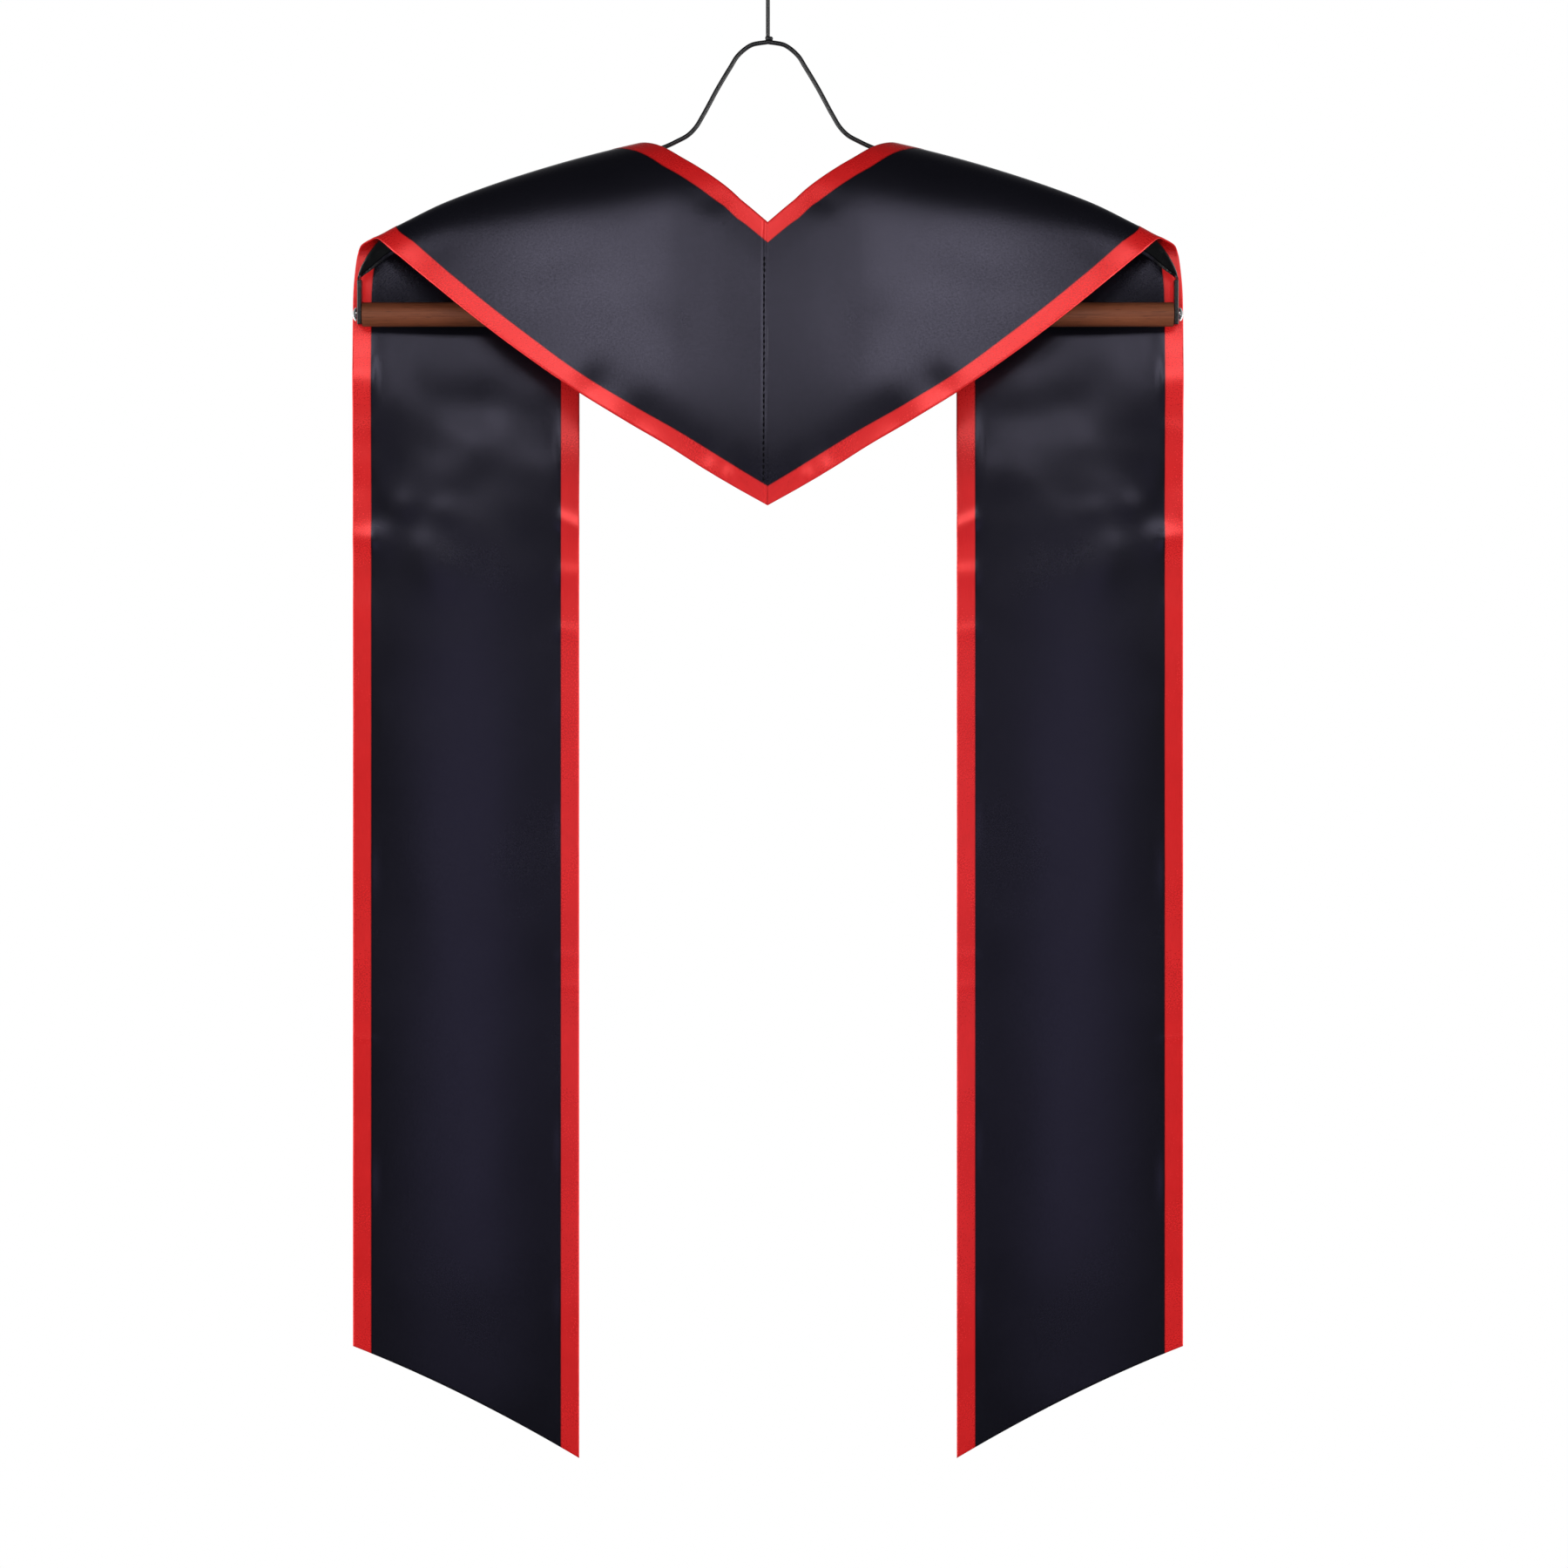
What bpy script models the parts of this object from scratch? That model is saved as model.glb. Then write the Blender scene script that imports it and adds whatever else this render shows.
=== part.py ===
"""Graduation stole hanging on a clothes hanger.

The stole is two shaped satin halves joined by a seam down the middle of the
back, each edged on both long sides with a red satin band.  Each half starts
at the back seam, climbs to the shoulder, folds over the hanger and hangs
straight down behind it.

Sizes are in millimetres in the tables and in metres in Blender.  The back yoke
faces -Y, +X is to the right and +Z is up.  The origin is the inside top of
the hook, where it rests on a rail.  "near" is the -Y side of the shoulder
line, "far" is the +Y side.  Tables describe the half at +X; the other half
is its mirror image.
"""

import math
from collections import namedtuple

import bmesh
import bpy
from mathutils import Vector

MM = 0.001
GAP = 0.3  # between neighbouring pieces

# ---------------------------------------------------------------- stole sizes
CLOTH = 1.4  # double satin with its stiffening
BAND = 10.6  # red edge band of the hanging panel
LEAN = 0.05  # how much the yoke leans forward below the shoulder
HEM_RISE = 3.8  # how far the slanted hem is cut in at its middle
PANEL_BOW = 3.5  # how far the middle of the hanging panel bows forward
HANG_INNER = 17.0  # depth of the hanging panel at its inner edge
HANG_OUTER = 12.5  # and at its outer edge
SETTLE_FROM, SETTLE_TO = 60.0, 210.0  # below the fold, where it settles there

# The shoulder line of the cloth, from the middle outwards: its height, and the
# half depth and drop of the rounded fold on each side of it.
Crest = namedtuple("Crest", "x z near_depth near_drop far_depth far_drop")
CREST = (
    Crest(0.0, -128.0, 26.0, 42.0, 24.0, 34.0),
    Crest(50.0, -132.6, 25.5, 42.0, 24.0, 34.0),
    Crest(78.0, -138.2, 24.0, 40.0, 23.5, 32.0),
    Crest(125.0, -150.6, 19.0, 31.0, 21.0, 26.0),
    Crest(180.0, -169.6, 11.5, 20.0, 15.0, 16.0),
    Crest(208.0, -183.2, 7.5, 14.5, 11.5, 9.5),
    Crest(222.0, -190.0, 6.0, 12.5, 10.0, 6.5),
    Crest(240.0, -193.0, 6.0, 12.0, 10.0, 6.0),
)

# Sections of the back yoke, from the shoulder line to the middle seam: where
# each one meets the neck edge and the lower edge, and the width of the red
# band there.
Yoke = namedtuple("Yoke", "neck_x neck_z neck_band hem_x hem_z hem_band steps")
YOKE = (
    Yoke(74.0, -137.3, 10.6, 221.8, -189.9, 10.6, 3),
    Yoke(68.0, -137.2, 10.6, 214.8, -193.3, 11.0, 3),
    Yoke(60.7, -139.4, 10.4, 207.1, -199.9, 11.4, 4),
    Yoke(49.2, -146.1, 10.4, 181.8, -220.9, 10.8, 3),
    Yoke(39.9, -151.8, 10.2, 144.4, -250.6, 10.4, 3),
    Yoke(30.7, -158.0, 10.2, 104.5, -278.8, 9.5, 3),
    Yoke(21.2, -165.4, 10.0, 64.9, -303.0, 9.8, 2),
    Yoke(10.3, -175.2, 9.3, 31.6, -323.8, 10.4, 2),
    Yoke(GAP / 2, -184.0, 8.9, GAP / 2, -341.8, 9.5, 0),
)

# Sections of the far side, from the shoulder line down to the hem.
Panel = namedtuple("Panel", "inner_x inner_z outer_x outer_z steps")
PANEL = (
    Panel(74.0, -137.3, 221.8, -189.9, 3),
    Panel(81.5, -141.6, 229.5, -193.6, 3),
    Panel(90.5, -153.0, 232.4, -206.0, 3),
    Panel(99.5, -176.0, 233.7, -223.0, 2),
    Panel(104.5, -206.0, 234.0, -245.0, 3),
    Panel(106.6, -258.0, 234.0, -285.0, 3),
    Panel(106.6, -400.0, 234.0, -400.0, 3),
    Panel(106.6, -620.0, 234.0, -600.0, 3),
    Panel(106.6, -876.4, 234.0, -812.5, 0),
)

SATIN_COLUMNS = 6
BAND_COLUMNS = 2

# --------------------------------------------------------------- hanger sizes
HOOK_WIRE = 2.3
HOOK_R = 19.0  # to the middle of the wire
HOOK_START, HOOK_END = -50.0, 205.0  # degrees round the hook, from +X
STEM_TOP, STEM_FOOT = -54.0, -78.0
BOW_WIRE = 2.6
PLATE = 1.2
BAR_R = 6.85
BAR_HALF = 227.2
BAR_Z = -232.4
BAR_VERTICES = 32
STRAP = (2.5, 8.0)  # thickness and width
STRAP_OUT = 230.0
STRAP_TOP, STRAP_FOOT = -213.2, -238.2
SCREW_R, SCREW_DOME, SCREW_RIM = 3.9, 2.0, 0.5

# The bow's wire, from its top to its end under the shoulder plate.
Bow = namedtuple("Bow", "x z")
BOW = (
    Bow(0.0, -79.6),
    Bow(8.1, -80.9),
    Bow(16.6, -87.0),
    Bow(21.2, -94.1),
    Bow(28.1, -105.6),
    Bow(35.8, -119.8),
    Bow(40.4, -127.4),
    Bow(45.0, -132.0),
    Bow(51.0, -135.3),
    Bow(59.2, -139.0),
    Bow(75.0, -143.3),
    Bow(92.0, -147.6),
    Bow(108.0, -152.2),
)

# The pressed shoulder plate, from its neck end to its tip: an arch whose two
# sides fall away from the crest.
Arm = namedtuple("Arm", "x z near far drop")
ARM = (
    Arm(77.0, -140.3, 4.5, 5.0, 1.4),
    Arm(80.0, -141.0, 8.5, 9.5, 4.0),
    Arm(90.0, -143.4, 12.5, 13.5, 8.0),
    Arm(108.0, -148.1, 14.0, 15.5, 11.5),
    Arm(125.0, -152.8, 13.5, 15.0, 13.0),
    Arm(150.0, -161.4, 11.0, 13.0, 12.5),
    Arm(180.0, -171.9, 7.8, 10.5, 11.0),
    Arm(208.0, -185.4, 4.8, 7.0, 10.2),
    Arm(217.0, -190.6, 4.4, 6.0, 11.0),
    Arm(222.0, -196.2, 4.1, 5.2, 9.7),
    Arm(226.0, -202.6, 3.7, 4.3, 6.3),
    Arm(228.6, -208.4, 3.3, 3.6, 2.4),
    Arm(229.4, -212.9, 3.3, 3.3, 0.0),
)
ARM_STEPS = 2
ARM_COLUMNS = 8


# ------------------------------------------------------------ small functions
def hermite(a, b, slope_a, slope_b, width, t):
    """Value between a and b at t, with a slope given at each end."""
    t2, t3 = t * t, t * t * t
    return (
        a * (2 * t3 - 3 * t2 + 1)
        + slope_a * width * (t3 - 2 * t2 + t)
        + b * (3 * t2 - 2 * t3)
        + slope_b * width * (t3 - t2)
    )


def through(xs, ys, x):
    """A smooth curve through the points (xs, ys) that doesn't overshoot."""
    n = len(xs)
    rise = [(ys[i + 1] - ys[i]) / (xs[i + 1] - xs[i]) for i in range(n - 1)]
    slopes = [rise[0]]
    for i in range(1, n - 1):
        a, b = rise[i - 1], rise[i]
        slopes.append(2 * a * b / (a + b) if a * b > 0 else 0.0)
    slopes.append(rise[-1])
    i = 0
    while i < n - 2 and x > xs[i + 1]:
        i += 1
    width = xs[i + 1] - xs[i]
    t = min(max((x - xs[i]) / width, 0.0), 1.0)
    return hermite(ys[i], ys[i + 1], slopes[i], slopes[i + 1], width, t)


def column(rows, name, at):
    """A table's column as a smooth curve over its row numbers."""
    return through(range(len(rows)), [getattr(r, name) for r in rows], at)


def crest(name, x):
    return through([r.x for r in CREST], [getattr(r, name) for r in CREST], x)


def eased(t):
    t = min(max(t, 0.0), 1.0)
    return t * t * (3 - 2 * t)


def mixed(a, b, t):
    return a + (b - a) * t


# ------------------------------------------------------------ the cloth's form
def fold(side, x):
    """Half depth, drop and quarter girth of the fold at x."""
    depth, drop = crest(side + "_depth", x), crest(side + "_drop", x)
    return depth, drop, math.pi / 2 * math.sqrt((depth**2 + drop**2) / 2)


def girth_of(side, x, z):
    """Length over the fold from the shoulder line down to height z."""
    _, drop, quarter = fold(side, x)
    down = max(crest("z", x) - z, 0.0)
    if down < drop:
        return quarter * math.acos(1 - down / drop) * 2 / math.pi
    return quarter + down - drop


def over_fold(side, x, girth):
    """Depth and height of the cloth at that length over the fold."""
    depth, drop, quarter = fold(side, x)
    if girth < quarter:
        turn = girth / quarter * math.pi / 2
        return depth * math.sin(turn), crest("z", x) - drop * (1 - math.cos(turn))
    return depth, crest("z", x) - drop - (girth - quarter)


def whole_edge(yoke_name, panel_name):
    """One long edge of a half, middle seam to hem: its x and its length over the fold, less than 0 on the near side."""
    xs, girths = [], []
    for r in reversed(YOKE[1:]):
        x, z = getattr(r, yoke_name + "_x"), getattr(r, yoke_name + "_z")
        xs.append(x)
        girths.append(-girth_of("near", x, z))
    xs.append(getattr(PANEL[0], panel_name + "_x"))
    girths.append(0.0)
    for r in PANEL[1:]:
        x, z = getattr(r, panel_name + "_x"), getattr(r, panel_name + "_z")
        xs.append(x)
        girths.append(girth_of("far", x, z))
    return xs, girths


LAST = len(PANEL) - 1
NUMBERS = range(1 - len(YOKE), len(PANEL))
INNER_EDGE = whole_edge("neck", "inner")
OUTER_EDGE = whole_edge("hem", "outer")


def cloth_point(at, u):
    """Point of a half: at is the section's number, from minus the yoke's to plus the panel's, and u runs from the inner edge to the outer edge."""
    (inner_x, inner), (outer_x, outer) = (
        [through(NUMBERS, values, at) for values in edge] for edge in (INNER_EDGE, OUTER_EDGE)
    )
    x, girth = mixed(inner_x, outer_x, u), mixed(inner, outer, u)
    if girth < 0:
        depth, z = over_fold("near", x, -girth)
        below = max(-girth - fold("near", x)[2], 0.0)
        return (x, -depth - LEAN * below, z)
    depth, z = over_fold("far", x, girth)
    level = z
    if at > 3:
        inner_z, outer_z = column(PANEL, "inner_z", at), column(PANEL, "outer_z", at)
        level = mixed(inner_z, outer_z, u) + HEM_RISE * 4 * u * (1 - u) * eased(at - LAST + 2)
    settled = eased((girth - SETTLE_FROM) / (SETTLE_TO - SETTLE_FROM))
    hang = mixed(HANG_INNER, HANG_OUTER, u) - PANEL_BOW * 4 * u * (1 - u)
    return (x, mixed(depth, hang, settled), mixed(z, level, eased((at - 3) / 3)))


def stations():
    """The section numbers of the mesh's rows, middle seam to hem."""
    near = [i + k / r.steps for i, r in enumerate(YOKE) for k in range(r.steps)]
    far = [i + k / r.steps for i, r in enumerate(PANEL) for k in range(r.steps)]
    return [NUMBERS[0]] + [-s for s in reversed(near) if s > 0] + far + [LAST]


def distance(a, b):
    return math.dist(a, b)


def edge_share(at, u, width):
    """Share of the section at this station that a band of this width takes at the edge u = 0 or 1."""
    before = cloth_point(max(at - 0.4, NUMBERS[0]), u)
    after = cloth_point(min(at + 0.4, LAST), u)
    here, inside = cloth_point(at, u), cloth_point(at, u + (0.04 if u < 0.5 else -0.04))
    along = [b - a for a, b in zip(before, after)]
    across = [b - a for a, b in zip(here, inside)]
    size = math.hypot(*along) * math.hypot(*across)
    cosine = sum(a * b for a, b in zip(along, across)) / size
    length = math.hypot(*across) / 0.04
    return width / (length * math.sqrt(1 - cosine * cosine))


def band_width(at, name):
    return column(YOKE, name, -at) if at < 0 else BAND


def facing(at, u):
    """The cloth's unit normal, out of the fold."""
    a = cloth_point(max(at - 0.04, NUMBERS[0]), u)
    b = cloth_point(min(at + 0.04, LAST), u)
    c, d = cloth_point(at, u - 0.01), cloth_point(at, u + 0.01)
    normal = (Vector(b) - Vector(a)).cross(Vector(d) - Vector(c))
    return normal.normalized()


def sheet_rows(low, high, columns):
    """Rows of points with their normals, between the two shares of the width that low(at) and high(at) give."""
    rows = []
    for at in stations():
        a, b = low(at), high(at)
        shares = [mixed(a, b, i / columns) for i in range(columns + 1)]
        rows.append([(Vector(cloth_point(at, u)), facing(at, u)) for u in shares])
    return rows


# ----------------------------------------------------------- making the pieces
for old in list(bpy.data.objects):
    bpy.data.objects.remove(old, do_unlink=True)

parts = bpy.data.collections.new("graduation_stole")
bpy.context.scene.collection.children.link(parts)


def material(name, colour, roughness, metallic=0.0, sheen=0.0):
    made = bpy.data.materials.new(name)
    made.use_nodes = True
    shader = made.node_tree.nodes["Principled BSDF"]
    shader.inputs["Base Color"].default_value = (*colour, 1)
    shader.inputs["Roughness"].default_value = roughness
    shader.inputs["Metallic"].default_value = metallic
    shader.inputs["Sheen Weight"].default_value = sheen
    made.diffuse_color = (*colour, 1)
    return made


SATIN_BLACK = material("satin_black", (0.018, 0.017, 0.024), 0.42, sheen=0.2)
SATIN_RED = material("satin_red", (0.62, 0.020, 0.022), 0.40, sheen=0.2)
STEEL_BLACK = material("steel_black", (0.02, 0.022, 0.025), 0.35, metallic=0.6)
STEEL_BRIGHT = material("steel_bright", (0.75, 0.76, 0.78), 0.2, metallic=1.0)
WOOD_BROWN = material("wood_brown", (0.11, 0.042, 0.022), 0.5)


def add(name, data, finish):
    data.materials.clear()
    data.materials.append(finish)
    made = bpy.data.objects.new(name, data)
    parts.objects.link(made)
    return made


def shaded(mesh):
    mesh.shade_smooth()
    mesh.set_sharp_from_angle(angle=math.radians(40))


def cloth(name, rows, finish, side):
    """A wall of cloth: each row's points moved out and in along their normals, so that neighbouring pieces keep an even gap."""
    shape = bmesh.new()
    layers = []
    for way in (0.5, -0.5):
        layer = []
        for row in rows:
            moved = [p + n * (way * CLOTH) for p, n in row]
            layer.append([shape.verts.new((side * p.x * MM, p.y * MM, p.z * MM)) for p in moved])
        layers.append(layer)
    outer, inner = layers
    last, end = len(rows) - 1, len(rows[0]) - 1
    faces = []
    for i in range(last):
        for j in range(end):
            faces.append([outer[i][j], outer[i + 1][j], outer[i + 1][j + 1], outer[i][j + 1]])
            faces.append([inner[i][j], inner[i][j + 1], inner[i + 1][j + 1], inner[i + 1][j]])
        faces.append([outer[i][0], inner[i][0], inner[i + 1][0], outer[i + 1][0]])
        faces.append([outer[i][end], outer[i + 1][end], inner[i + 1][end], inner[i][end]])
    for j in range(end):
        faces.append([outer[0][j], outer[0][j + 1], inner[0][j + 1], inner[0][j]])
        faces.append([outer[last][j], inner[last][j], inner[last][j + 1], outer[last][j + 1]])
    for corners in faces:
        shape.faces.new(corners if side > 0 else corners[::-1])
    mesh = bpy.data.meshes.new(name)
    shape.to_mesh(mesh)
    shape.free()
    shaded(mesh)
    return add(name, mesh, finish)


def pressed(name, rows, finish, thickness, flipped):
    """A sheet through rows of points, thickened on both sides."""
    shape = bmesh.new()
    made = [[shape.verts.new([c * MM for c in p]) for p in row] for row in rows]
    for low, high in zip(made, made[1:]):
        for i in range(len(low) - 1):
            corners = [low[i], low[i + 1], high[i + 1], high[i]]
            shape.faces.new(corners[::-1] if flipped else corners)
    mesh = bpy.data.meshes.new(name)
    shape.to_mesh(mesh)
    shape.free()
    shaded(mesh)
    piece = add(name, mesh, finish)
    wall = piece.modifiers.new("wall", "SOLIDIFY")
    wall.thickness = thickness * MM
    wall.offset = 0
    return piece


def wire(name, points, diameter, finish):
    curve = bpy.data.curves.new(name, "CURVE")
    curve.dimensions = "3D"
    curve.bevel_depth = diameter / 2 * MM
    curve.bevel_resolution = 2
    curve.use_fill_caps = True
    line = curve.splines.new("POLY")
    line.points.add(len(points) - 1)
    for knot, p in zip(line.points, points):
        knot.co = (*[c * MM for c in p], 1)
    return add(name, curve, finish)


# ------------------------------------------------------------------- the stole
def inner_share(at):
    return edge_share(at, 0.0, band_width(at, "neck_band"))


def outer_share(at):
    return edge_share(at, 1.0, band_width(at, "hem_band"))


def inner_gap(at):
    return edge_share(at, 0.0, GAP / 2)


def outer_gap(at):
    return edge_share(at, 1.0, GAP / 2)


satin = sheet_rows(
    lambda at: inner_share(at) + inner_gap(at),
    lambda at: 1 - outer_share(at) - outer_gap(at),
    SATIN_COLUMNS,
)
inner_band = sheet_rows(
    lambda at: 0.0, lambda at: inner_share(at) - inner_gap(at), BAND_COLUMNS
)
outer_band = sheet_rows(
    lambda at: 1 - outer_share(at) + outer_gap(at), lambda at: 1.0, BAND_COLUMNS
)

for word, rows, finish in (
    ("satin", satin, SATIN_BLACK),
    ("inner_band", inner_band, SATIN_RED),
    ("outer_band", outer_band, SATIN_RED),
):
    cloth(word + "_right", rows, finish, 1)
    cloth(word + "_left", rows, finish, -1)


# ------------------------------------------------------------------ the hanger
def arm_rows():
    rows = []
    last = (len(ARM) - 1) * ARM_STEPS
    for k in range(last + 1):
        at = k / ARM_STEPS
        x, z = column(ARM, "x", at), column(ARM, "z", at)
        drop = column(ARM, "drop", at)
        row = []
        for i in range(ARM_COLUMNS + 1):
            t = 2 * i / ARM_COLUMNS - 1
            half = column(ARM, "near" if t < 0 else "far", at)
            row.append((x, half * t, z - drop * t * t))
        rows.append(row)
    return rows


arm = arm_rows()
left_arm = [[(-x, y, z) for x, y, z in row] for row in arm]
pressed("shoulder_plate_right", arm, STEEL_BLACK, PLATE, True)
pressed("shoulder_plate_left", left_arm, STEEL_BLACK, PLATE, False)

half_bow = [
    (column(BOW, "x", k / 2), 0.0, column(BOW, "z", k / 2))
    for k in range(2 * (len(BOW) - 1) + 1)
]
bow_points = [(-x, y, z) for x, y, z in reversed(half_bow[1:])] + half_bow
wire("bow", bow_points, BOW_WIRE, STEEL_BLACK)

hook_middle = HOOK_WIRE / 2 - HOOK_R


def on_hook(degrees):
    a = math.radians(degrees)
    return (HOOK_R * math.cos(a), 0.0, hook_middle + HOOK_R * math.sin(a))


start = on_hook(HOOK_START)
turn = math.radians(HOOK_START + 90)
reach = distance(start, (0.0, 0.0, STEM_TOP)) * 1.1
hook_points = [(0.0, 0.0, mixed(STEM_FOOT, STEM_TOP, k / 2)) for k in range(3)]
for k in range(1, 8):
    t = k / 8
    hook_points.append(
        (
            hermite(0.0, start[0], 0.0, math.cos(turn) * reach, 1.0, t),
            0.0,
            hermite(STEM_TOP, start[2], reach, math.sin(turn) * reach, 1.0, t),
        )
    )
for k in range(25):
    hook_points.append(on_hook(mixed(HOOK_START, HOOK_END, k / 24)))
wire("hook", hook_points, HOOK_WIRE, STEEL_BLACK)

bpy.ops.mesh.primitive_cylinder_add(
    vertices=BAR_VERTICES,
    radius=BAR_R * MM,
    depth=2 * BAR_HALF * MM,
    location=(0, 0, BAR_Z * MM),
    rotation=(0, math.pi / 2, 0),
)
bar = bpy.context.object
bar.name = bar.data.name = "bar"
for holder in list(bar.users_collection):
    holder.objects.unlink(bar)
parts.objects.link(bar)
bar.data.materials.append(WOOD_BROWN)
bar.data.shade_smooth()
bar.data.set_sharp_from_angle(angle=math.radians(40))

for side, word in ((1, "right"), (-1, "left")):
    bpy.ops.mesh.primitive_cube_add(size=1)
    strap = bpy.context.object
    strap.name = strap.data.name = "end_strap_" + word
    for holder in list(strap.users_collection):
        holder.objects.unlink(strap)
    parts.objects.link(strap)
    height = STRAP_TOP - STRAP_FOOT
    for v in strap.data.vertices:
        v.co = (v.co.x * STRAP[0] * MM, v.co.y * STRAP[1] * MM, v.co.z * height * MM)
    strap.location = (
        side * (STRAP_OUT - STRAP[0] / 2) * MM,
        0,
        (STRAP_TOP + STRAP_FOOT) / 2 * MM,
    )
    strap.data.materials.append(STEEL_BLACK)
    edge = strap.modifiers.new("edge", "BEVEL")
    edge.width = 0.4 * MM
    edge.segments = 2
    edge.limit_method = "ANGLE"

    # Domed head of the screw that goes through the strap into the bar's end.
    profile = bpy.data.meshes.new("screw_" + word)
    dome = [
        (
            SCREW_R * math.sin(math.pi / 2 * k / 6) * MM,
            0,
            (SCREW_RIM + SCREW_DOME * math.cos(math.pi / 2 * k / 6)) * MM,
        )
        for k in range(7)
    ]
    dome += [(SCREW_R * MM, 0, 0), (0, 0, 0)]
    profile.from_pydata(dome, [(i, i + 1) for i in range(len(dome) - 1)], [])
    screw = add("screw_" + word, profile, STEEL_BRIGHT)
    spin = screw.modifiers.new("turned", "SCREW")
    spin.axis = "Z"
    spin.angle = 2 * math.pi
    spin.steps = spin.render_steps = 24
    spin.use_merge_vertices = True
    spin.merge_threshold = 0.00001
    spin.use_smooth_shade = True
    screw.rotation_euler = (0, side * math.pi / 2, 0)
    screw.location = (side * (STRAP_OUT + GAP) * MM, 0, BAR_Z * MM)
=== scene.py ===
"""Looks of a graduation stole hanging on a clothes hanger.

The cloth is a thin shell on the same form as the solid parts: tables of
sections in millimetres, read as smooth curves, for the half at +X; the other
half is its mirror image.  Soft folds, puckers, seams and stitches are added to
that form, then the wire, wood and metal of the hanger, the materials, the
studio and the camera.  "near" is the -Y side of the shoulder line, which faces
the camera, and "far" the +Y side, where the long panels hang.
"""

import math
from collections import namedtuple

import bpy
import numpy as np
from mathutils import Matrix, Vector


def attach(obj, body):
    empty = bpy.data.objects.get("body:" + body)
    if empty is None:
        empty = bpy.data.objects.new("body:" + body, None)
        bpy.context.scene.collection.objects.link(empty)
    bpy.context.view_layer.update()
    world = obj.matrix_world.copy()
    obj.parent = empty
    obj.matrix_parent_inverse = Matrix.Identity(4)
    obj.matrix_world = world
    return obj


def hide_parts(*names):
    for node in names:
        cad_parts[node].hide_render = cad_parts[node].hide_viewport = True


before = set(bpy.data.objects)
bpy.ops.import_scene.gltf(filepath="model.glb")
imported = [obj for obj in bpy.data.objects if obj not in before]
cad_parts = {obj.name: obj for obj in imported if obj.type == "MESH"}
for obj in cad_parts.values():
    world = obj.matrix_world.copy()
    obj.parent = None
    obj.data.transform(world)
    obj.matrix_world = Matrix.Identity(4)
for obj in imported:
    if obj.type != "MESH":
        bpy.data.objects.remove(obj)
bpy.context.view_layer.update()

MM = 0.001
GAP = 0.3

# ------------------------------------------------------- the form of the cloth
BAND = 10.6  # red edge band of the hanging panel
LEAN = 0.05  # how much the yoke leans forward below the shoulder
HEM_RISE = 3.8
PANEL_BOW = 3.5
HANG_INNER = 17.0
HANG_OUTER = 12.5
SETTLE_FROM, SETTLE_TO = 60.0, 210.0

Crest = namedtuple("Crest", "x z near_depth near_drop far_depth far_drop")
CREST = (
    Crest(0.0, -128.0, 26.0, 42.0, 24.0, 34.0),
    Crest(50.0, -132.6, 25.5, 42.0, 24.0, 34.0),
    Crest(78.0, -138.2, 24.0, 40.0, 23.5, 32.0),
    Crest(125.0, -150.6, 19.0, 31.0, 21.0, 26.0),
    Crest(180.0, -169.6, 11.5, 20.0, 15.0, 16.0),
    Crest(208.0, -183.2, 7.5, 14.5, 11.5, 9.5),
    Crest(222.0, -190.0, 6.0, 12.5, 10.0, 6.5),
    Crest(240.0, -193.0, 6.0, 12.0, 10.0, 6.0),
)
Yoke = namedtuple("Yoke", "neck_x neck_z neck_band hem_x hem_z hem_band")
YOKE = (
    Yoke(74.0, -137.3, 10.6, 221.8, -189.9, 10.6),
    Yoke(68.0, -137.2, 10.6, 214.8, -193.3, 11.0),
    Yoke(60.7, -139.4, 10.4, 207.1, -199.9, 11.4),
    Yoke(49.2, -146.1, 10.4, 181.8, -220.9, 10.8),
    Yoke(39.9, -151.8, 10.2, 144.4, -250.6, 10.4),
    Yoke(30.7, -158.0, 10.2, 104.5, -278.8, 9.5),
    Yoke(21.2, -165.4, 10.0, 64.9, -303.0, 9.8),
    Yoke(10.3, -175.2, 9.3, 31.6, -323.8, 10.4),
    Yoke(0.0, -184.1, 8.9, 0.0, -341.8, 9.5),
)
Panel = namedtuple("Panel", "inner_x inner_z outer_x outer_z")
PANEL = (
    Panel(74.0, -137.3, 221.8, -189.9),
    Panel(81.5, -141.6, 229.5, -193.6),
    Panel(90.5, -153.0, 232.4, -206.0),
    Panel(99.5, -176.0, 233.7, -223.0),
    Panel(104.5, -206.0, 234.0, -245.0),
    Panel(106.6, -258.0, 234.0, -285.0),
    Panel(106.6, -400.0, 234.0, -400.0),
    Panel(106.6, -620.0, 234.0, -600.0),
    Panel(106.6, -876.4, 234.0, -812.5),
)
FIRST, LAST = 1 - len(YOKE), len(PANEL) - 1
NUMBERS = np.arange(FIRST, LAST + 1)

# Wall of the cloth, in mm: half of its thickness in the middle of a piece.
SATIN_HALF, BAND_HALF = 0.46, 0.60

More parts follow.
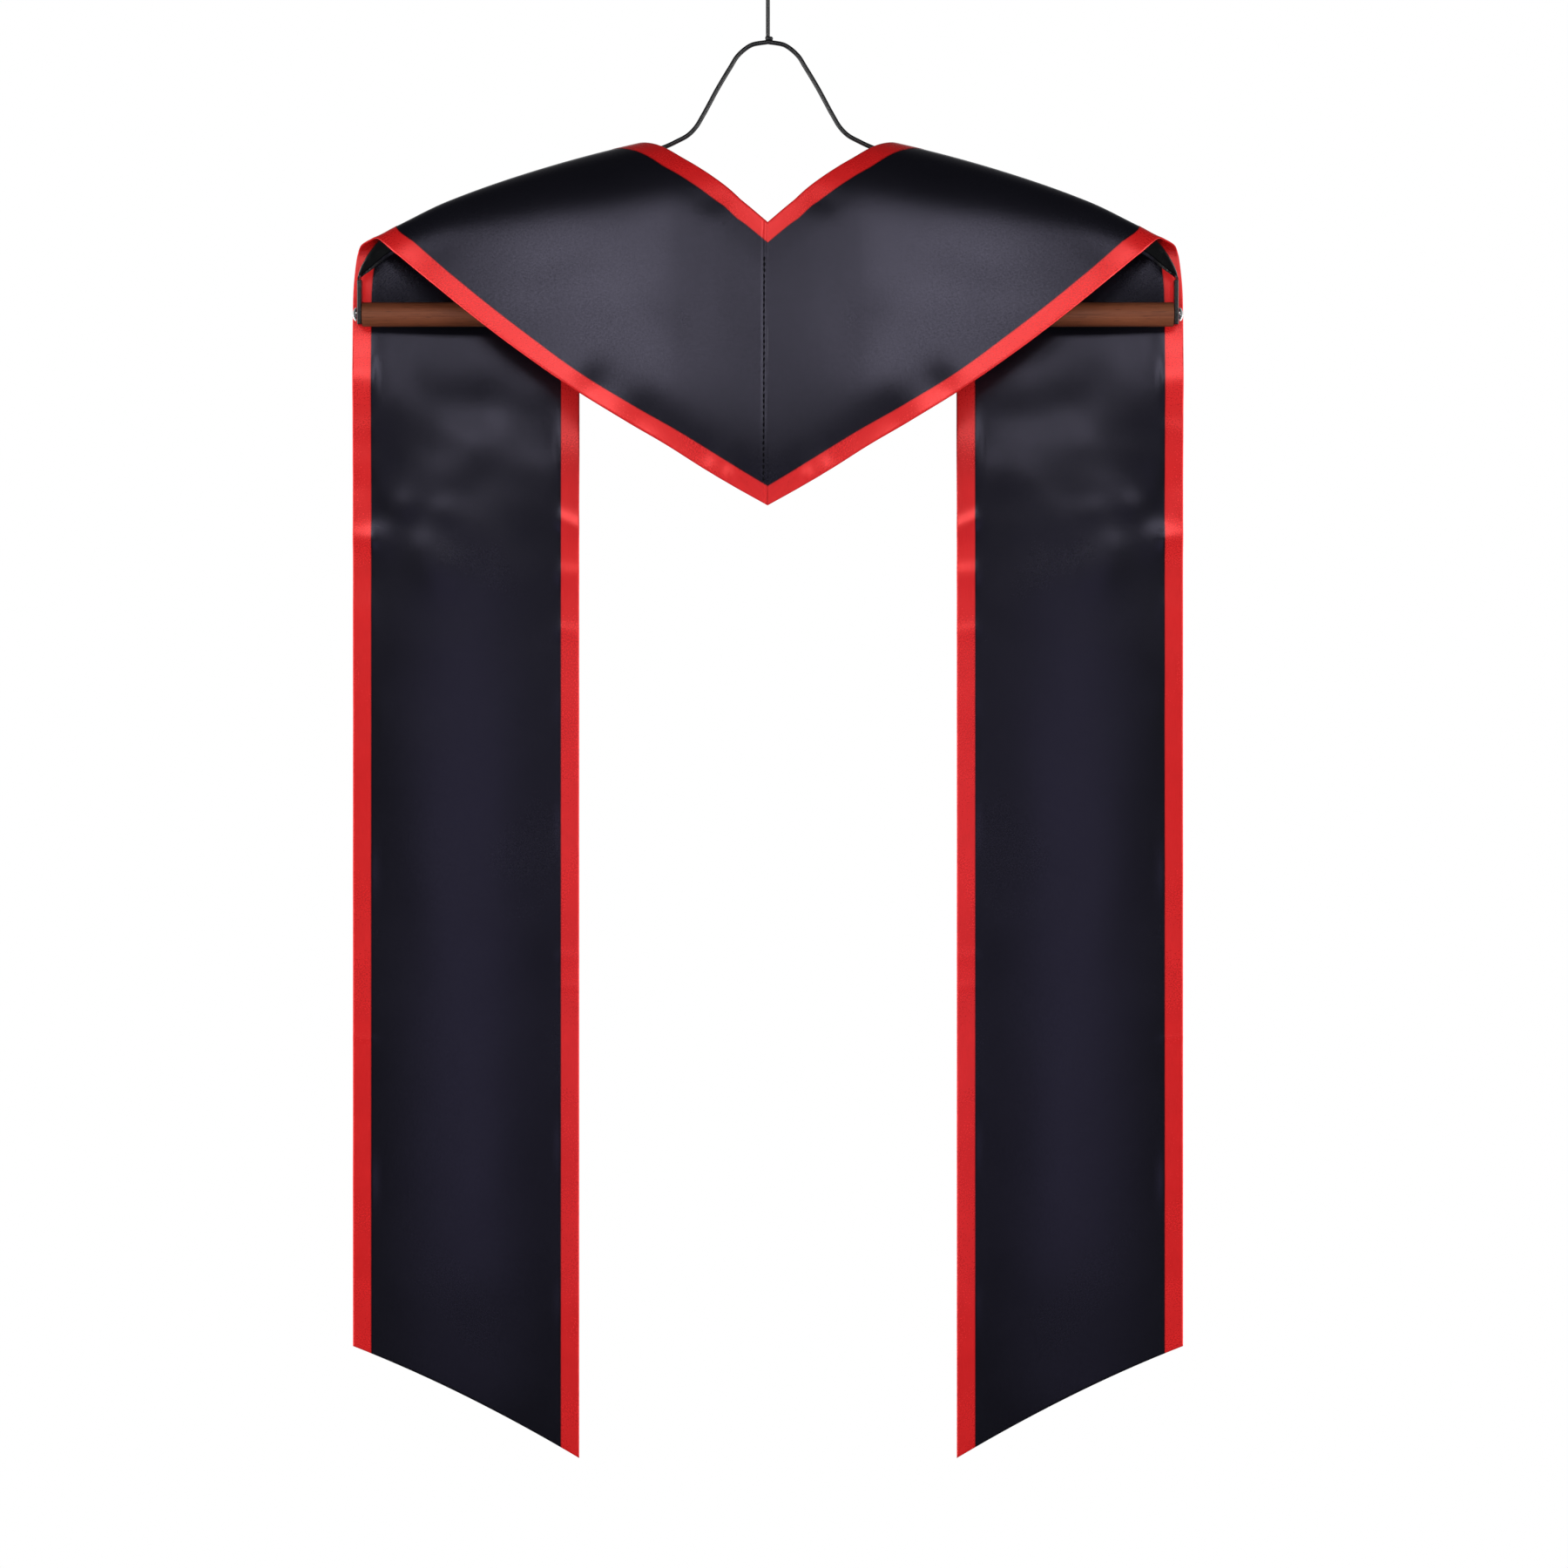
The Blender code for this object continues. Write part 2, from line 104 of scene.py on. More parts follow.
# Soft folds of the yoke and of the panels, in mm, for the half at +X.  x, z is
# the middle; the fold's lit side lies at up_x, up_z from there, and it is
# "long" to each side across that.  A negative height is a hollow.
Fold = namedtuple("Fold", "x z up_x up_z long height")
YOKE_FOLDS = (
    Fold(98.0, -278.0, -5.8, 10.6, 9.0, -0.95),
    Fold(72.6, -297.6, -6.4, 11.8, 9.0, -0.55),
    Fold(38.0, -318.0, -6.4, 11.8, 7.0, -0.30),
    Fold(31.0, -171.0, -4.0, 6.5, 8.0, -0.42),
    Fold(150.0, -225.0, 3.0, 16.0, 30.0, 0.30),
    Fold(90.0, -225.0, -4.0, 22.0, 45.0, 0.35),
    Fold(52.0, -236.0, 9.0, 24.0, 18.0, -0.45),
    Fold(118.0, -206.0, 5.0, 13.0, 22.0, -0.25),
    Fold(186.0, -199.0, 4.0, 8.0, 14.0, -0.25),
    Fold(209.5, -199.0, -1.0, 6.5, 8.0, 0.42),
)
PANEL_FOLDS = (
    Fold(212.1, -279.7, -1.7, 23.1, 13.7, 0.90),
    Fold(164.0, -283.3, -5.0, 13.6, 21.6, -0.85),
    Fold(135.8, -290.5, -3.3, 13.2, 15.7, -0.44),
    Fold(133.6, -316.0, 3.0, 17.2, 17.7, 0.40),
    Fold(171.6, -308.4, -2.6, 17.5, 16.7, 0.22),
    Fold(205.0, -339.3, 2.6, 6.9, 8.8, 0.42),
    Fold(218.8, -344.2, 1.3, 9.6, 7.4, -0.60),
    Fold(182.4, -341.0, -3.3, 6.6, 8.8, 0.31),
    Fold(194.7, -360.7, -4.6, 7.3, 7.9, 0.27),
    Fold(217.8, -359.7, -1.3, 11.2, 8.8, 0.36),
    Fold(188.8, -373.4, -9.9, 7.3, 15.7, 0.77),
    Fold(154.2, -380.3, 5.0, 16.5, 19.6, 0.36),
    Fold(189.8, -253.1, 16.5, 4.0, 14.7, 0.22),
    Fold(170.0, -420.0, 4.0, 28.0, 22.0, 0.24),
    Fold(150.0, -520.0, -6.0, 45.0, 16.0, 0.24),
    Fold(188.0, -560.0, 8.0, 52.0, 18.0, 0.24),
    Fold(160.0, -700.0, -5.0, 60.0, 20.0, 0.24),
    Fold(173.0, -815.0, 3.0, 34.0, 48.0, -0.62),
)
# Puckers that run across a band: height down the edge, slope, half height of
# the pucker and how high it stands.
Pucker = namedtuple("Pucker", "z slope size height")
OUTER_PUCKERS = (
    Pucker(-268.0, 0.05, 13.0, 1.38),
    Pucker(-296.0, -0.10, 6.5, 0.32),
    Pucker(-327.0, 0.08, 8.0, -0.36),
    Pucker(-357.5, 0.04, 6.2, 0.72),
    Pucker(-398.0, -0.05, 10.0, 0.23),
    Pucker(-459.0, 0.06, 13.0, -0.29),
    Pucker(-545.0, 0.00, 16.0, 0.29),
    Pucker(-639.2, 0.01, 1.3, 0.32),
    Pucker(-719.0, 0.02, 15.0, 0.32),
)
INNER_PUCKERS = (
    Pucker(-306.5, 0.05, 15.0, 1.00),
    Pucker(-349.5, 0.45, 5.6, 0.72),
    Pucker(-378.0, 0.10, 6.5, 0.54),
    Pucker(-410.0, 0.20, 4.5, 0.38),
    Pucker(-452.0, -0.06, 12.0, 0.26),
    Pucker(-520.0, 0.05, 15.0, -0.29),
    Pucker(-593.5, 0.10, 3.4, 0.32),
    Pucker(-610.2, 0.02, 1.4, 0.35),
    Pucker(-700.0, -0.03, 18.0, 0.32),
    Pucker(-790.0, 0.04, 16.0, 0.29),
)


# ------------------------------------------------------------ small functions
def through(xs, ys, x):
    """Smooth curve through the points (xs, ys), without overshoot, at each x."""
    xs, ys, x = (np.asarray(v, float) for v in (xs, ys, x))
    rise = np.diff(ys) / np.diff(xs)
    a, b = rise[:-1], rise[1:]
    safe = np.where(a * b > 0, a + b, 1.0)
    slopes = np.concatenate(
        [rise[:1], np.where(a * b > 0, 2 * a * b / safe, 0.0), rise[-1:]]
    )
    i = np.clip(np.searchsorted(xs, x, side="left") - 1, 0, len(xs) - 2)
    width = xs[i + 1] - xs[i]
    t = np.clip((x - xs[i]) / width, 0.0, 1.0)
    t2, t3 = t * t, t * t * t
    return (
        ys[i] * (2 * t3 - 3 * t2 + 1)
        + slopes[i] * width * (t3 - 2 * t2 + t)
        + ys[i + 1] * (3 * t2 - 2 * t3)
        + slopes[i + 1] * width * (t3 - t2)
    )


def column(rows, name, at):
    return through(range(len(rows)), [getattr(r, name) for r in rows], at)


def crest(name, x):
    return through([r.x for r in CREST], [getattr(r, name) for r in CREST], x)


def eased(t):
    t = np.clip(t, 0.0, 1.0)
    return t * t * (3 - 2 * t)


def mixed(a, b, t):
    return a + (b - a) * t


def unit(v):
    return v / np.linalg.norm(v, axis=-1, keepdims=True)


def fold(side, x):
    """Half depth, drop and quarter girth of the fold over the shoulder."""
    depth, drop = crest(side + "_depth", x), crest(side + "_drop", x)
    return depth, drop, math.pi / 2 * np.sqrt((depth**2 + drop**2) / 2)


def girth_of(side, x, z):
    _, drop, quarter = fold(side, x)
    down = np.maximum(crest("z", x) - z, 0.0)
    turned = quarter * np.arccos(np.clip(1 - down / drop, -1, 1)) * 2 / math.pi
    return np.where(down < drop, turned, quarter + down - drop)


def over_fold(side, x, girth):
    depth, drop, quarter = fold(side, x)
    turn = np.minimum(girth / quarter, 1.0) * math.pi / 2
    past = np.maximum(girth - quarter, 0.0)
    return depth * np.sin(turn), crest("z", x) - drop * (1 - np.cos(turn)) - past


def whole_edge(yoke_name, panel_name):
    """One long edge of a half, middle seam to hem: its x and its length over the fold, less than 0 on the near side."""
    xs, girths = [], []
    for r in reversed(YOKE[1:]):
        x, z = getattr(r, yoke_name + "_x"), getattr(r, yoke_name + "_z")
        xs.append(x)
        girths.append(-float(girth_of("near", x, z)))
    xs.append(getattr(PANEL[0], panel_name + "_x"))
    girths.append(0.0)
    for r in PANEL[1:]:
        x, z = getattr(r, panel_name + "_x"), getattr(r, panel_name + "_z")
        xs.append(x)
        girths.append(float(girth_of("far", x, z)))
    return xs, girths


INNER_EDGE = whole_edge("neck", "inner")
OUTER_EDGE = whole_edge("hem", "outer")


def cloth_points(at, u):
    """Points of a half, in mm: at is the section's number and u runs from the inner edge to the outer edge."""
    at, u = np.broadcast_arrays(np.asarray(at, float), np.asarray(u, float))
    inner_x, inner = (through(NUMBERS, v, at) for v in INNER_EDGE)
    outer_x, outer = (through(NUMBERS, v, at) for v in OUTER_EDGE)
    x, girth = mixed(inner_x, outer_x, u), mixed(inner, outer, u)
    depth, near_z = over_fold("near", x, np.maximum(-girth, 0.0))
    below = np.maximum(-girth - fold("near", x)[2], 0.0)
    near_y = -depth - LEAN * below
    depth, z = over_fold("far", x, np.maximum(girth, 0.0))
    inner_z, outer_z = column(PANEL, "inner_z", at), column(PANEL, "outer_z", at)
    level = mixed(inner_z, outer_z, u) + HEM_RISE * 4 * u * (1 - u) * eased(
        at - LAST + 2
    )
    level = np.where(at > 3, level, z)
    settled = eased((girth - SETTLE_FROM) / (SETTLE_TO - SETTLE_FROM))
    hang = mixed(HANG_INNER, HANG_OUTER, u) - PANEL_BOW * 4 * u * (1 - u)
    far_y = mixed(depth, hang, settled)
    far_z = mixed(z, level, eased((at - 3) / 3))
    near = girth < 0
    return np.stack(
        [x, np.where(near, near_y, far_y), np.where(near, near_z, far_z)], -1
    )


def edge_share(at, u, width):
    """Share of the section at each station that this width takes at the edge u = 0 or 1."""
    before = cloth_points(np.maximum(at - 0.4, FIRST), u)
    after = cloth_points(np.minimum(at + 0.4, LAST), u)
    here = cloth_points(at, u)
    inside = cloth_points(at, u + (0.04 if u < 0.5 else -0.04))
    along, across = after - before, inside - here
    long, wide = np.linalg.norm(along, axis=-1), np.linalg.norm(across, axis=-1)
    cosine = (along * across).sum(-1) / (long * wide)
    return width / (wide / 0.04 * np.sqrt(1 - cosine**2))


def band_width(at, name):
    return np.where(at < 0, column(YOKE, name, np.maximum(-at, 0.0)), BAND)


def stations():
    """The section numbers of the mesh's rows, close together by the middle seam and the hem, and their length along the middle of the half."""
    fine = np.linspace(FIRST, LAST, 6401)
    length = 0.0
    for u in (0.0, 0.5, 1.0):
        steps = np.linalg.norm(np.diff(cloth_points(fine, u), axis=0), axis=-1)
        length = length + np.concatenate([[0.0], np.cumsum(steps)]) / 3
    total = length[-1]
    marks = [0.0]
    while marks[-1] < total - 6.0:
        s = marks[-1]
        marks.append(s + min(0.25 + max(s - 8.5, 0.0) * 0.12, 2.0))
    rest = total - marks[-1]
    marks += [marks[-1] + rest * k for k in (0.35, 0.62, 0.80, 0.90, 0.96, 0.985, 1.0)]
    return np.interp(marks, length, fine), np.array(marks)


AT, ALONG = stations()
INNER_PER_MM = edge_share(AT, 0.0, 1.0)
OUTER_PER_MM = edge_share(AT, 1.0, 1.0)
NECK_BAND = band_width(AT, "neck_band")
HEM_BAND = band_width(AT, "hem_band")


# ------------------------------------------------------ folds, puckers, seams
def bumps(table, x, z):
    """Height of a table of folds at x, z: a round-topped ridge or hollow each."""
    height = np.zeros_like(x)
    for f in table:
        size = math.hypot(f.up_x, f.up_z)
        ux, uz = f.up_x / size, f.up_z / size
        across = ((x - f.x) * ux + (z - f.z) * uz) / (size * 1.05)
        along = ((x - f.x) * uz - (z - f.z) * ux) / f.long
        height += f.height * np.exp(-(across**2) - along**2)
    return height


def ripples(x, z, seed):
    """Slow, uneven waviness of hung cloth, about 1 mm high at most."""
    height = np.zeros_like(x)
    maker = np.random.default_rng(seed)
    for k in range(16):
        size = maker.uniform(16.0, 46.0)
        turn = maker.uniform(-0.9, 0.9)
        phase = maker.uniform(0.0, 2 * math.pi)
        way = x * math.sin(turn) + z * math.cos(turn)
        cross = x * math.cos(turn) - z * math.sin(turn)
        swell = np.sin(cross / (size * 1.7) + phase * 3)
        height += 0.035 * size / 30 * np.sin(way / size * 2.4 + phase + swell)
    return height


def crumples(x, z, seed):
    """Small soft dents left by folding, strongest below the bar."""
    height = np.zeros_like(x)
    maker = np.random.default_rng(seed)
    for k in range(22):
        size = maker.uniform(6.5, 15.0)
        turn = maker.uniform(-1.3, 0.6)
        phase = maker.uniform(0.0, 2 * math.pi)
        way = x * math.sin(turn) + z * math.cos(turn)
        cross = x * math.cos(turn) - z * math.sin(turn)
        swell = 1.4 * np.sin(cross / (size * 1.5) + phase * 5)
        height += 0.0021 * size * np.sin(way / size * 2.0 + phase + swell)
    return height * np.exp(-(((z + 312.0) / 52.0) ** 2))


def puckers(table, x, z, middle_x):
    height = np.zeros_like(x)
    for p in table:
        off = (z - p.z - p.slope * (x - middle_x)) / p.size
        height += p.height * np.exp(-(off**2))
    return height


# Tilt of the yoke down from the shoulder line, by the share of the fold's drop:
# the part that goes with the fold and the part that stays all the way down.
ROLL_SHARES = (0.55, 0.72, 0.90, 1.08, 1.30, 1.60, 6.0)
ROLL_TILT = (0.504, 0.332, 0.172, 0.068, 0.012, 0.0, 0.0)
ROLL_LEAN = (0.0, 0.12, 0.45, 0.80, 1.0, 1.0, 1.0)
LEAN_SEEN = 0.070
ROLL_AT = np.linspace(0.55, 6.0, 1091)
ROLL_TILTED, ROLL_LEANT = (
    np.concatenate([[0.0], np.cumsum((v[1:] + v[:-1]) / 2 * np.diff(ROLL_AT))])
    for v in (
        through(ROLL_SHARES, ROLL_TILT, ROLL_AT),
        through(ROLL_SHARES, ROLL_LEAN, ROLL_AT),
    )
)


def slack_roll(x, z):
    """How far a slack, rounder roll over the shoulder stands out from the plain fold."""
    drop = crest("near_drop", x)
    bend = crest("near_depth", x) / drop
    share = np.maximum(crest("z", x) - z, 0.0) / drop
    turned = bend * np.sqrt(np.clip(1 - (1 - share) ** 2, 0.0, 1.0))
    plain = np.where(share < 1, turned, bend + LEAN * (share - 1))
    start = bend * math.sqrt(1 - 0.45**2)
    soft = start + bend * np.interp(share, ROLL_AT, ROLL_TILTED)
    soft = soft + LEAN_SEEN * np.interp(share, ROLL_AT, ROLL_LEANT)
    return drop * np.where(share > 0.55, soft - plain, 0.0)


SEAM_X = 0.45  # where the middle seam shows, on the -X side
STITCH_X = 2.05


def relief(points, at, inner, outer, side):
    """How far the cloth stands out from its plain form, outwards, in mm. inner and outer are the distances from the long edges."""
    x, z = points[..., 0], points[..., 2]
    near = eased((-at - 0.15) / 0.9)
    far = eased((at - 2.2) / 1.6)
    seed = 3 if side > 0 else 8
    by_side = 1.0 if side > 0 else 0.94

    # Yoke: hollows along the lower band, a slight curl back at the point, and
    # a slack roll where it turns down from the shoulder.
    yoke = bumps(YOKE_FOLDS, x, z) * by_side + 0.5 * ripples(x, z, seed)
    yoke -= 0.00036 * np.maximum(-266.0 - z, 0.0) ** 2
    curl = 1.35 * eased((106.0 - x) / 46.0) * (1 + 0.16 * np.sin(x / 7.5 + 0.8))
    yoke -= curl * np.exp(-((outer / 17.5) ** 2))
    yoke -= 0.34 * eased((x - 200.0) / 12.0) * np.exp(-((outer / 8.0) ** 2))
    yoke -= 0.26 * eased((38.0 - x) / 28.0) * np.exp(-((outer / 7.0) ** 2))
    yoke -= 0.75 * eased((66.0 - x) / 46.0) * np.exp(-((inner / 14.0) ** 2))
    yoke += slack_roll(x, z)
    yoke += 0.70 * np.exp(-(((x - 21.5) / 3.2) ** 2) - ((z + 326.0) / 5.0) ** 2)
    yoke += 0.60 * np.exp(-(((x - 31.0) / 2.6) ** 2) - ((z + 321.0) / 5.0) ** 2)
    # Middle seam: the allowances lie to the left, and the stitches pull them in.
    signed = x * side
    if side < 0:
        allowance = eased((-signed - SEAM_X) / 0.8) * eased(
            (SEAM_X + 3.15 + signed) / 0.8
        )
        groove = np.exp(-(((-signed - STITCH_X) / 0.55) ** 2))
        yoke += 0.13 * allowance - 0.22 * groove * allowance
    yoke -= 0.09 * np.exp(-(((-signed - SEAM_X) / 0.35) ** 2))

    # Panels: seen from their inner face, so a fold towards the camera is inwards.
    panel = bumps(PANEL_FOLDS, x, z) * by_side + 0.55 * ripples(x, z, seed + 1)
    panel += crumples(x, z, seed + 2)
    panel += 2.12 * np.exp(-(((z + 268.0) / 48.0) ** 2)) * eased((205.0 - x) / 90.0)
    panel -= 0.8 * np.exp(-(((z + 236.0) / 21.0) ** 2)) * eased((x - 150.0) / 40.0)
    by_outer = 1 - eased((outer - BAND) / 5.0)
    by_inner = 1 - eased((inner - BAND) / 4.5)
    panel += by_outer * puckers(OUTER_PUCKERS, x, z, 229.0)
    panel += by_inner * puckers(INNER_PUCKERS, x, z, 112.0)
    return near * yoke - far * panel


def from_seam(inner, outer):
    """Distance from the nearer seam of satin and band, to either side."""
    return np.minimum(
        np.abs(inner - NECK_BAND[:, None]), np.abs(outer - HEM_BAND[:, None])
    )


def smooth_edge(distance, size):
    """From 0 at the edge to 1 inside, as a quarter round."""
    t = np.clip(1 - distance / size, 0.0, 1.0)
    return np.sqrt(np.clip(1 - t * t, 0.0, 1.0))


def grid(shares, side, thickness, seams):
    """Points, distance from the seams (which the materials use for the painted seam shade), half thickness and flat
    place of a piece, in mm. shares is rows by columns.
    """
    at = np.broadcast_to(AT[:, None], shares.shape)
    points = cloth_points(at, shares)
    inner = shares / INNER_PER_MM[:, None]
    outer = (1 - shares) / OUTER_PER_MM[:, None]
    step = 0.02
    d_at = cloth_points(np.minimum(at + step, LAST), shares) - cloth_points(
        np.maximum(at - step, FIRST), shares
    )
    d_u = cloth_points(at, shares + 0.01) - cloth_points(at, shares - 0.01)
    normal = unit(np.cross(d_at, d_u))
    if normal[len(AT) // 8, shares.shape[1] // 2, 1] > 0:
        normal = -normal
    height = relief(points, at, inner, outer, side)
    points = points + normal * height[..., None]
    half = thickness(inner, outer, at)
    end = ALONG[-1] - ALONG
    half = half * mixed(0.22, 1.0, smooth_edge(end, 0.9))[:, None]
    flat = np.stack([inner, np.broadcast_to(ALONG[:, None], inner.shape)], -1)
    return points, from_seam(inner, outer), half, flat


def shell(name, made, side, finish, body="root"):
    """A closed thin wall through a grid of points."""
    points, seam, half, flat = made
    rows, columns = half.shape
    d_row = np.gradient(points, ALONG, axis=0)
    d_col = np.gradient(points, axis=1)
    normal = unit(np.cross(d_row, d_col))
    if normal[rows // 8, columns // 2, 1] > 0:
        normal = -normal
    both = []
    for way in (1.0, -1.0):
        layer = (points + normal * (way * half)[..., None]) * MM
        layer[..., 0] *= side
        both.append(layer.reshape(-1, 3))
    number = np.arange(rows * columns).reshape(rows, columns)
    far = number + rows * columns
    a, b = number[:-1, :-1], number[1:, :-1]
    c, d = number[1:, 1:], number[:-1, 1:]
    top = np.stack([a, b, c, d], -1).reshape(-1, 4)
    under = np.stack([a, d, c, b], -1).reshape(-1, 4) + rows * columns
    rim = []
    for line, other, flip in (
        (number[:, 0], far[:, 0], False),
        (number[:, -1], far[:, -1], True),
        (number[0, :], far[0, :], True),
        (number[-1, :], far[-1, :], False),
    ):
        quad = np.stack([line[:-1], other[:-1], other[1:], line[1:]], -1)
        rim.append(quad[:, ::-1] if flip else quad)
    faces = np.concatenate([top, under, *rim])
    corner = both[0][top[len(top) // 8]]
    facing = np.cross(corner[1] - corner[0], corner[3] - corner[0])
    if facing[1] > 0:
        faces = faces[:, ::-1]
    mesh = bpy.data.meshes.new(name)
    mesh.from_pydata(np.concatenate(both).tolist(), [], faces.tolist())
    layer = mesh.uv_layers.new(name="cloth")
    corners = np.empty(len(mesh.loops), np.int64)
    mesh.loops.foreach_get("vertex_index", corners)
    places = np.concatenate([flat.reshape(-1, 2)] * 2)[corners] * MM
    layer.uv.foreach_set("vector", places.astype(np.float32).ravel())
    # Distance from the satin-band seam, which the satin materials use to paint shade along the seam.
    value = mesh.attributes.new("seam", "FLOAT", "POINT")
    value.data.foreach_set("value", np.tile(seam.ravel(), 2).astype(np.float32))
    mesh.shade_smooth()
    mesh.set_sharp_from_angle(angle=math.radians(50))
    mesh.materials.append(finish)
    made_object = bpy.data.objects.new(name, mesh)
    bpy.context.scene.collection.objects.link(made_object)
    return made_object


# ---------------------------------------------------------------- materials
class Nodes:
    """Small helper to write node trees in a few lines."""

    def __init__(self, name):
        self.made = bpy.data.materials.new(name)
        self.made.use_nodes = True
        self.tree = self.made.node_tree
        self.shader = self.tree.nodes["Principled BSDF"]

    def add(self, kind, **settings):
        node = self.tree.nodes.new("ShaderNode" + kind)
        for key, value in settings.items():
            setattr(node, key, value)
        return node

    def link(self, a, b):
        self.tree.links.new(a, b)
        return b

    def put(self, node, **values):
        for key, value in values.items():
            node.inputs[key.replace("_", " ")].default_value = value
        return node

    def place(self, kind, scale):
        """Coordinates of that kind, scaled by three numbers."""
        if kind == "cloth":
            source = self.add("UVMap", uv_map="cloth").outputs["UV"]
        else:
            source = self.add("TexCoord").outputs[kind]
        mapping = self.add("Mapping")
        mapping.inputs["Scale"].default_value = scale
        self.link(source, mapping.inputs["Vector"])
        return mapping.outputs["Vector"]

    def noise(self, where, scale, detail=2.0, rough=0.5, distortion=0.0):
        node = self.add("TexNoise")
        node.inputs["Scale"].default_value = scale
        node.inputs["Detail"].default_value = detail
        node.inputs["Roughness"].default_value = rough
        node.inputs["Distortion"].default_value = distortion
        self.link(where, node.inputs["Vector"])
        return node.outputs["Fac"]

    def ramp(self, value, stops):
        node = self.add("ValToRGB")
        while len(node.color_ramp.elements) < len(stops):
            node.color_ramp.elements.new(0.5)
        for element, (spot, colour) in zip(node.color_ramp.elements, stops):
            element.position = spot
            element.color = (*colour, 1) if len(colour) == 3 else colour
        self.link(value, node.inputs["Fac"])
        return node.outputs["Color"]

    def mapped(self, value, low, high, to_low=0.0, to_high=1.0):
        node = self.add("MapRange")
        for key, number in (
            ("From Min", low),
            ("From Max", high),
            ("To Min", to_low),
            ("To Max", to_high),
        ):
            node.inputs[key].default_value = number
        self.link(value, node.inputs["Value"])
        return node.outputs["Result"]

    def maths(self, operation, a, b):
        node = self.add("Math", operation=operation)
        for socket, value in zip(node.inputs, (a, b)):
            if isinstance(value, (int, float)):
                socket.default_value = value
            else:
                self.link(value, socket)
        return node.outputs["Value"]

    def mix(self, factor, a, b, blend="MIX"):
        node = self.add("Mix", data_type="RGBA", blend_type=blend)
        for socket, value in (
            (node.inputs["Factor"], factor),
            (node.inputs[6], a),
            (node.inputs[7], b),
        ):
            if isinstance(value, (int, float)):
                socket.default_value = value
            elif isinstance(value, tuple):
                socket.default_value = (*value, 1)
            else:
                self.link(value, socket)
        return node.outputs[2]

    def bump(self, height, distance, strength=1.0, below=None):
        node = self.add("Bump")
        node.inputs["Strength"].default_value = strength
        node.inputs["Distance"].default_value = distance
        self.link(height, node.inputs["Height"])
        if below is not None:
            self.link(below, node.inputs["Normal"])
        return node.outputs["Normal"]


def satin(name, deep, light, roughness, tint, shine, grain, dye):
    """Satin cloth: long fine threads, a slight pebble from the stiffening behind it, and uneven shine."""
    n = Nodes(name)
    flat = n.place("cloth", (1.0, 1.0, 1.0))
    slub = n.noise(n.place("cloth", (2600.0, 130.0, 1.0)), 1.0, 2.0, 0.6)
    cross = n.noise(n.place("cloth", (160.0, 2400.0, 1.0)), 1.0, 2.0, 0.6)
    pebble = n.noise(flat, 1050.0, 4.0, 0.8)
    soft = n.noise(flat, 42.0, 3.0, 0.55, 0.4)
    broad = n.noise(flat, 14.0, 2.0, 0.5, 0.3)
    thread = n.add("TexWave", wave_type="BANDS", bands_direction="X")
    n.put(thread, Scale=620.0, Distortion=0.6, Detail=1.0)
    thread.inputs["Detail Scale"].default_value = 2.0
    n.link(flat, thread.inputs["Vector"])

    tone = n.maths("ADD", n.maths("MULTIPLY", soft, 0.45), n.maths("MULTIPLY", slub, 0.55))
    colour = n.mix(n.mapped(tone, 0.35, 0.65), deep, light)
    # Painted shade: within 0.75 mm of the seam between satin and band, the colour is darkened towards a fifth of the
    # deep colour. This stands in for the shade in the seam's groove.
    seam = n.add("Attribute", attribute_name="seam")
    line = n.mapped(seam.outputs["Fac"], 0.10, 0.75, 0.72, 0.0)
    colour = n.mix(line, colour, tuple(c * 0.22 for c in deep))
    n.link(colour, n.shader.inputs["Base Color"])
    uneven = n.maths("ADD", n.maths("MULTIPLY", broad, 0.6), n.maths("MULTIPLY", pebble, 0.4))
    n.link(
        n.mapped(uneven, 0.3, 0.7, roughness - 0.035, roughness + 0.045),
        n.shader.inputs["Roughness"],
    )
    normal = n.bump(pebble, 0.000019 * grain, 1.0)
    normal = n.bump(slub, 0.0000065, 1.0, normal)
    normal = n.bump(cross, 0.0000045, 1.0, normal)
    normal = n.bump(thread.outputs["Fac"], 0.0000028, 1.0, normal)
    n.link(normal, n.shader.inputs["Normal"])
    fleck = n.noise(flat, 1250.0, 3.0, 0.75)
    n.link(
        n.mapped(fleck, 0.25, 0.75, shine * (1 - 0.55 * grain), shine * (1 + 0.55 * grain)),
        n.shader.inputs["Specular IOR Level"],
    )
    n.shader.inputs["Specular Tint"].default_value = (*tint, 1)
    # Light that comes back out of the shiny dyed threads carries their colour.
    n.shader.inputs["Metallic"].default_value = dye
    return n.made


def painted_steel(name, smooth, rough, gloss):
    n = Nodes(name)
    where = n.place("Object", (1.0, 1.0, 1.0))
    peel = n.noise(where, 900.0, 2.0, 0.5)
    worn = n.noise(where, 210.0, 4.0, 0.6)
    n.link(
        n.mix(n.mapped(worn, 0.62, 0.75), (0.0022, 0.0024, 0.0027), (0.008, 0.0085, 0.0095)),
        n.shader.inputs["Base Color"],
    )
    n.link(n.mapped(worn, 0.3, 0.7, smooth, rough), n.shader.inputs["Roughness"])
    n.link(n.bump(peel, 0.00003), n.shader.inputs["Normal"])
    n.shader.inputs["Specular IOR Level"].default_value = gloss
    return n.made


def bright_steel():
    n = Nodes("bright_steel")
    where = n.place("Object", (1.0, 1.0, 1.0))
    turned = n.noise(n.place("Object", (1500.0, 120.0, 120.0)), 1.0, 2.0, 0.5)
    spots = n.noise(where, 420.0, 3.0, 0.6)
    n.link(
        n.mix(n.mapped(spots, 0.55, 0.75), (0.80, 0.80, 0.80), (0.62, 0.62, 0.63)),
        n.shader.inputs["Base Color"],
    )
    n.shader.inputs["Metallic"].default_value = 1.0
    n.link(n.mapped(spots, 0.3, 0.7, 0.13, 0.25), n.shader.inputs["Roughness"])
    n.link(n.bump(turned, 0.00001), n.shader.inputs["Normal"])
    return n.made


